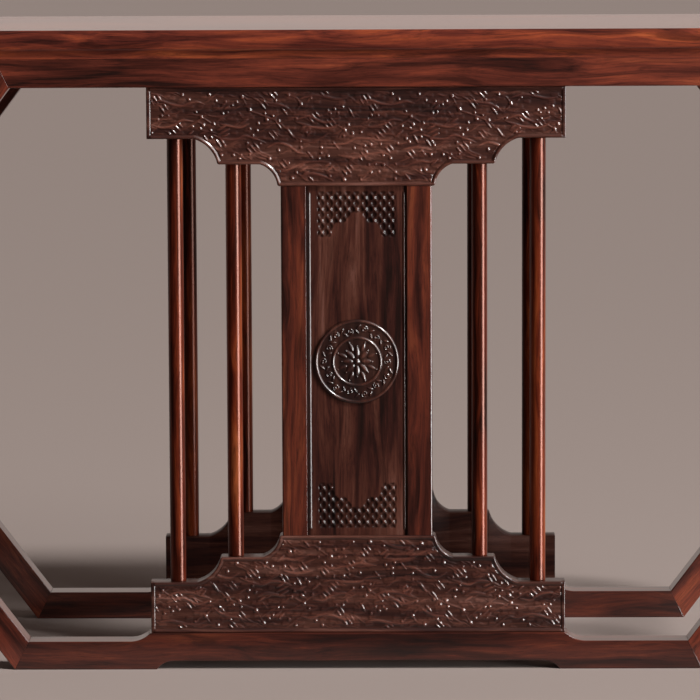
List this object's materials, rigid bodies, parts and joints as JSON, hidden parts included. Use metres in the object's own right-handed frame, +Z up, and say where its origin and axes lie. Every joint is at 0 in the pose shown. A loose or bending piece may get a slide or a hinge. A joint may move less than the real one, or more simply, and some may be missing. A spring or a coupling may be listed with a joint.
{
  "type": "altar table",
  "caption": "Long altar table: framed top on paired hexagonal frames tied by cross rails, with carved stepped panels, round columns and a centre panel with a roundel.",
  "frame": {"origin": "on the floor, below the middle of the top", "axes": "+X along the table's length, to the right seen from the front; the front faces -Y; +Z up"},
  "size_m": [2.12, 0.526, 1.06],
  "materials": {
    "top_frame": "polished red-brown rosewood with a darker figure",
    "top_board": "polished red-brown rosewood, long grain",
    "inner_rails": "plain waxed rosewood, unpolished",
    "frame": "polished red-brown rosewood with orange streaks",
    "carved_panel": "waxed dark rosewood, carved in low relief",
    "column": "polished turned rosewood",
    "stile": "polished dark rosewood",
    "centre_panel": "waxed dark rosewood with upright grain",
    "roundel": "waxed carved rosewood"
  },
  "bodies": {
    "root": {"top_front_rail": "top_frame", "top_rear_rail": "top_frame", "top_left_end": "top_frame", "top_right_end": "top_frame", "top_panel": "top_board", "top_batten_1": "inner_rails", "top_batten_2": "inner_rails", "top_batten_3": "inner_rails", "top_batten_4": "inner_rails", "top_keys": "inner_rails", "top_left_cross_rail": "inner_rails", "top_right_cross_rail": "inner_rails", "base_left_cross_rail": "inner_rails", "base_right_cross_rail": "inner_rails", "side_left_cross_rail": "inner_rails", "side_right_cross_rail": "inner_rails", "front_frame_top_rail": "frame", "front_frame_bottom_rail": "frame", "front_upper_left_diagonal": "frame", "front_lower_left_diagonal": "frame", "front_upper_right_diagonal": "frame", "front_lower_right_diagonal": "frame", "front_upper_carved_panel": "carved_panel", "front_lower_carved_panel": "carved_panel", "front_outer_left_column": "column", "front_inner_left_column": "column", "front_left_stile": "stile", "front_outer_right_column": "column", "front_inner_right_column": "column", "front_right_stile": "stile", "front_centre_panel": "centre_panel", "front_roundel": "roundel", "rear_frame_top_rail": "frame", "rear_frame_bottom_rail": "frame", "rear_upper_left_diagonal": "frame", "rear_lower_left_diagonal": "frame", "rear_upper_right_diagonal": "frame", "rear_lower_right_diagonal": "frame", "rear_upper_carved_panel": "carved_panel", "rear_lower_carved_panel": "carved_panel", "rear_outer_left_column": "column", "rear_inner_left_column": "column", "rear_left_stile": "stile", "rear_outer_right_column": "column", "rear_inner_right_column": "column", "rear_right_stile": "stile", "rear_centre_panel": "centre_panel", "rear_roundel": "roundel"}
  },
  "joints": []
}
